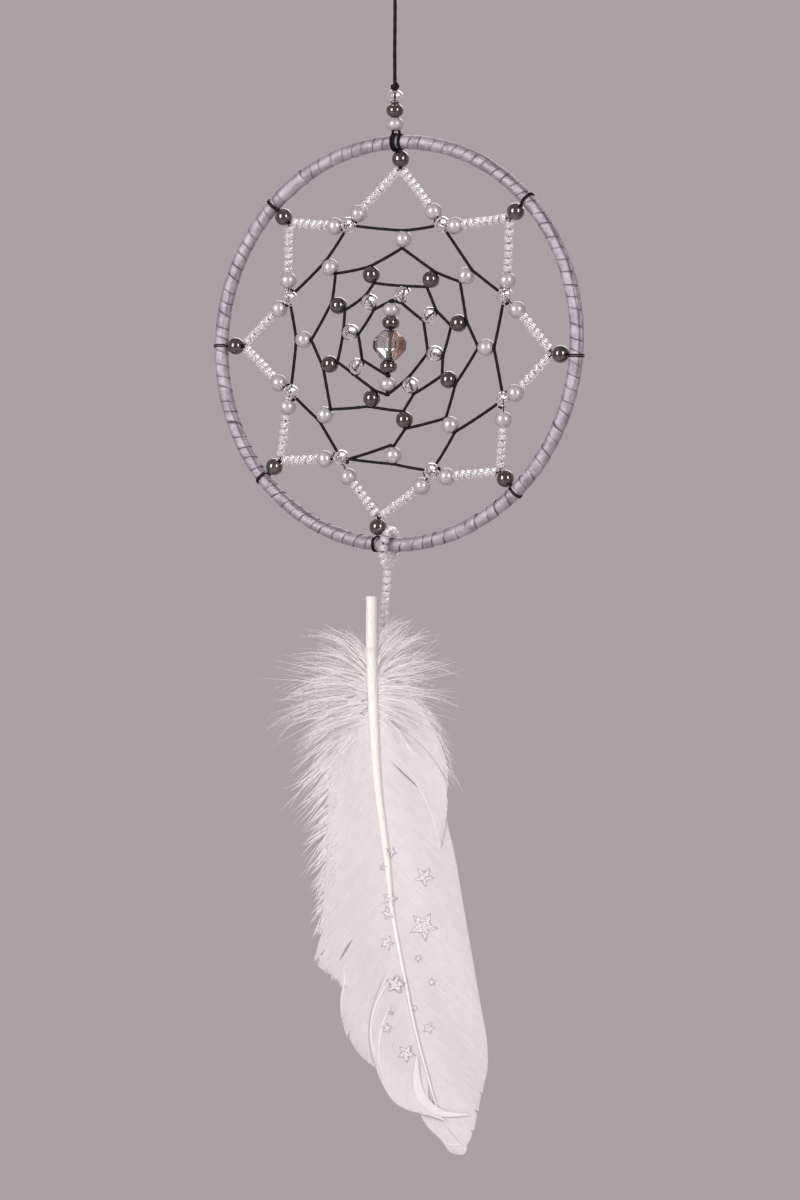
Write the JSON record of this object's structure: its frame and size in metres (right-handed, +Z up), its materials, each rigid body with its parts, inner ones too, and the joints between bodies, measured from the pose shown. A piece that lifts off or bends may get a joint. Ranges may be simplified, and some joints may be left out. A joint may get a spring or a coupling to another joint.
{
  "type": "dream catcher",
  "caption": "Ribbon-wrapped hoop with a beaded star web and a centre crystal, hung from a cord with three beads, with a seed-bead drop and one feather below.",
  "frame": {"origin": "inside top of the hanging loop, where the hook or nail carries it", "axes": "+Z up along the cord, +X to the right seen from the front, -Y out of the hoop's front; the hoop lies in the XZ plane"},
  "size_m": [0.099, 0.0237, 0.2949],
  "materials": {
    "cord_black": "black waxed cotton thread and cord",
    "ring_steel": "plain drawn wire, hidden under the ribbon",
    "ribbon_lilac": "silvery lilac satin ribbon wound on the slant, with creases along it",
    "glass_dark": "near-black metallic lustre, mirror bright",
    "pearl_grey": "grey pearl coat, satin",
    "glass_clear": "clear polished glass",
    "seed_glass": "clear glass with a silver lining",
    "crystal_smoke": "faceted smoky brown crystal",
    "quill_cream": "cream horn-like quill with fine streaks",
    "vane_white": "pale lavender feather barbs with silver glitter stars",
    "down_white": "loose white down",
    "binding_pale": "fine pale binding thread, matt"
  },
  "bodies": {
    "hook_loop": {"hanging_loop": "cord_black"},
    "cord": {"hanging_cord": "cord_black"},
    "hanger_beads": {"hanger_bead_clear": "glass_clear", "hanger_bead_dark": "glass_dark", "hanger_bead_pearl": "pearl_grey"},
    "hoop": {"hoop_hitch": "cord_black", "web_thread": "cord_black", "web_clear_1": "glass_clear", "web_clear_2": "glass_clear", "web_clear_3": "glass_clear", "web_clear_4": "glass_clear", "web_clear_5": "glass_clear", "web_clear_6": "glass_clear", "web_clear_7": "glass_clear", "hoop_bead_1": "glass_dark", "hoop_bead_2": "glass_dark", "hoop_bead_3": "glass_dark", "hoop_bead_4": "glass_dark", "hoop_bead_5": "glass_dark", "hoop_bead_6": "glass_dark", "hoop_bead_7": "glass_dark", "hoop_bead_8": "glass_dark", "web_dark_1": "glass_dark", "web_dark_2": "glass_dark", "web_dark_3": "glass_dark", "web_dark_4": "glass_dark", "web_dark_5": "glass_dark", "web_dark_6": "glass_dark", "web_dark_7": "glass_dark", "web_dark_8": "glass_dark", "centre_dark_top": "glass_dark", "centre_dark_bottom": "glass_dark", "web_pearl_1": "pearl_grey", "web_pearl_2": "pearl_grey", "web_pearl_3": "pearl_grey", "web_pearl_4": "pearl_grey", "web_pearl_5": "pearl_grey", "web_pearl_6": "pearl_grey", "web_pearl_7": "pearl_grey", "web_pearl_8": "pearl_grey", "centre_pearl_top": "pearl_grey", "centre_pearl_bottom": "pearl_grey", "hoop_ring": "ring_steel", "ribbon_wrap": "ribbon_lilac", "star_strand_1": "seed_glass", "star_strand_2": "seed_glass", "star_strand_3": "seed_glass", "star_strand_4": "seed_glass", "star_strand_5": "seed_glass", "star_strand_6": "seed_glass", "star_strand_7": "seed_glass", "star_strand_8": "seed_glass"},
    "crystal": {"centre_crystal": "crystal_smoke"},
    "drop_ring": {"drop_loop": "seed_glass"},
    "drop_string": {"drop_chain": "seed_glass"},
    "feather": {"feather_quill": "quill_cream", "feather_vane_left": "vane_white", "feather_vane_right": "vane_white", "feather_down": "down_white", "feather_lashing": "binding_pale"}
  },
  "joints": [
    {"name": "side_swing", "type": "hinge", "parent": "hook_loop", "child": "cord", "pos_m": [0, 0, -0.01795], "axis": [0, 1, 0], "range_deg": [-30, 30]},
    {"name": "cord_twist", "type": "hinge", "parent": "cord", "child": "hanger_beads", "pos_m": [0, 0, -0.0443], "axis": [0, 0, 1], "continuous": true},
    {"name": "hoop_rock", "type": "hinge", "parent": "hanger_beads", "child": "hoop", "pos_m": [0, 0, -0.05395], "axis": [1, 0, 0], "range_deg": [-30, 30]},
    {"name": "crystal_spin", "type": "hinge", "parent": "hoop", "child": "crystal", "pos_m": [-0.00141, 0, -0.1043], "axis": [0.0585, 0, 0.9983], "continuous": true},
    {"name": "drop_swing", "type": "hinge", "parent": "hoop", "child": "drop_ring", "pos_m": [-0.0014, 0, -0.1514], "axis": [1, 0, 0], "range_deg": [-40, 40]},
    {"name": "feather_sway", "type": "hinge", "parent": "drop_ring", "child": "drop_string", "pos_m": [-0.0019, 0, -0.15725], "axis": [0, 1, 0], "range_deg": [-25, 25]},
    {"name": "feather_spin", "type": "hinge", "parent": "drop_string", "child": "feather", "pos_m": [-0.0034, 0, -0.1739], "axis": [0, 0, 1], "continuous": true}
  ]
}
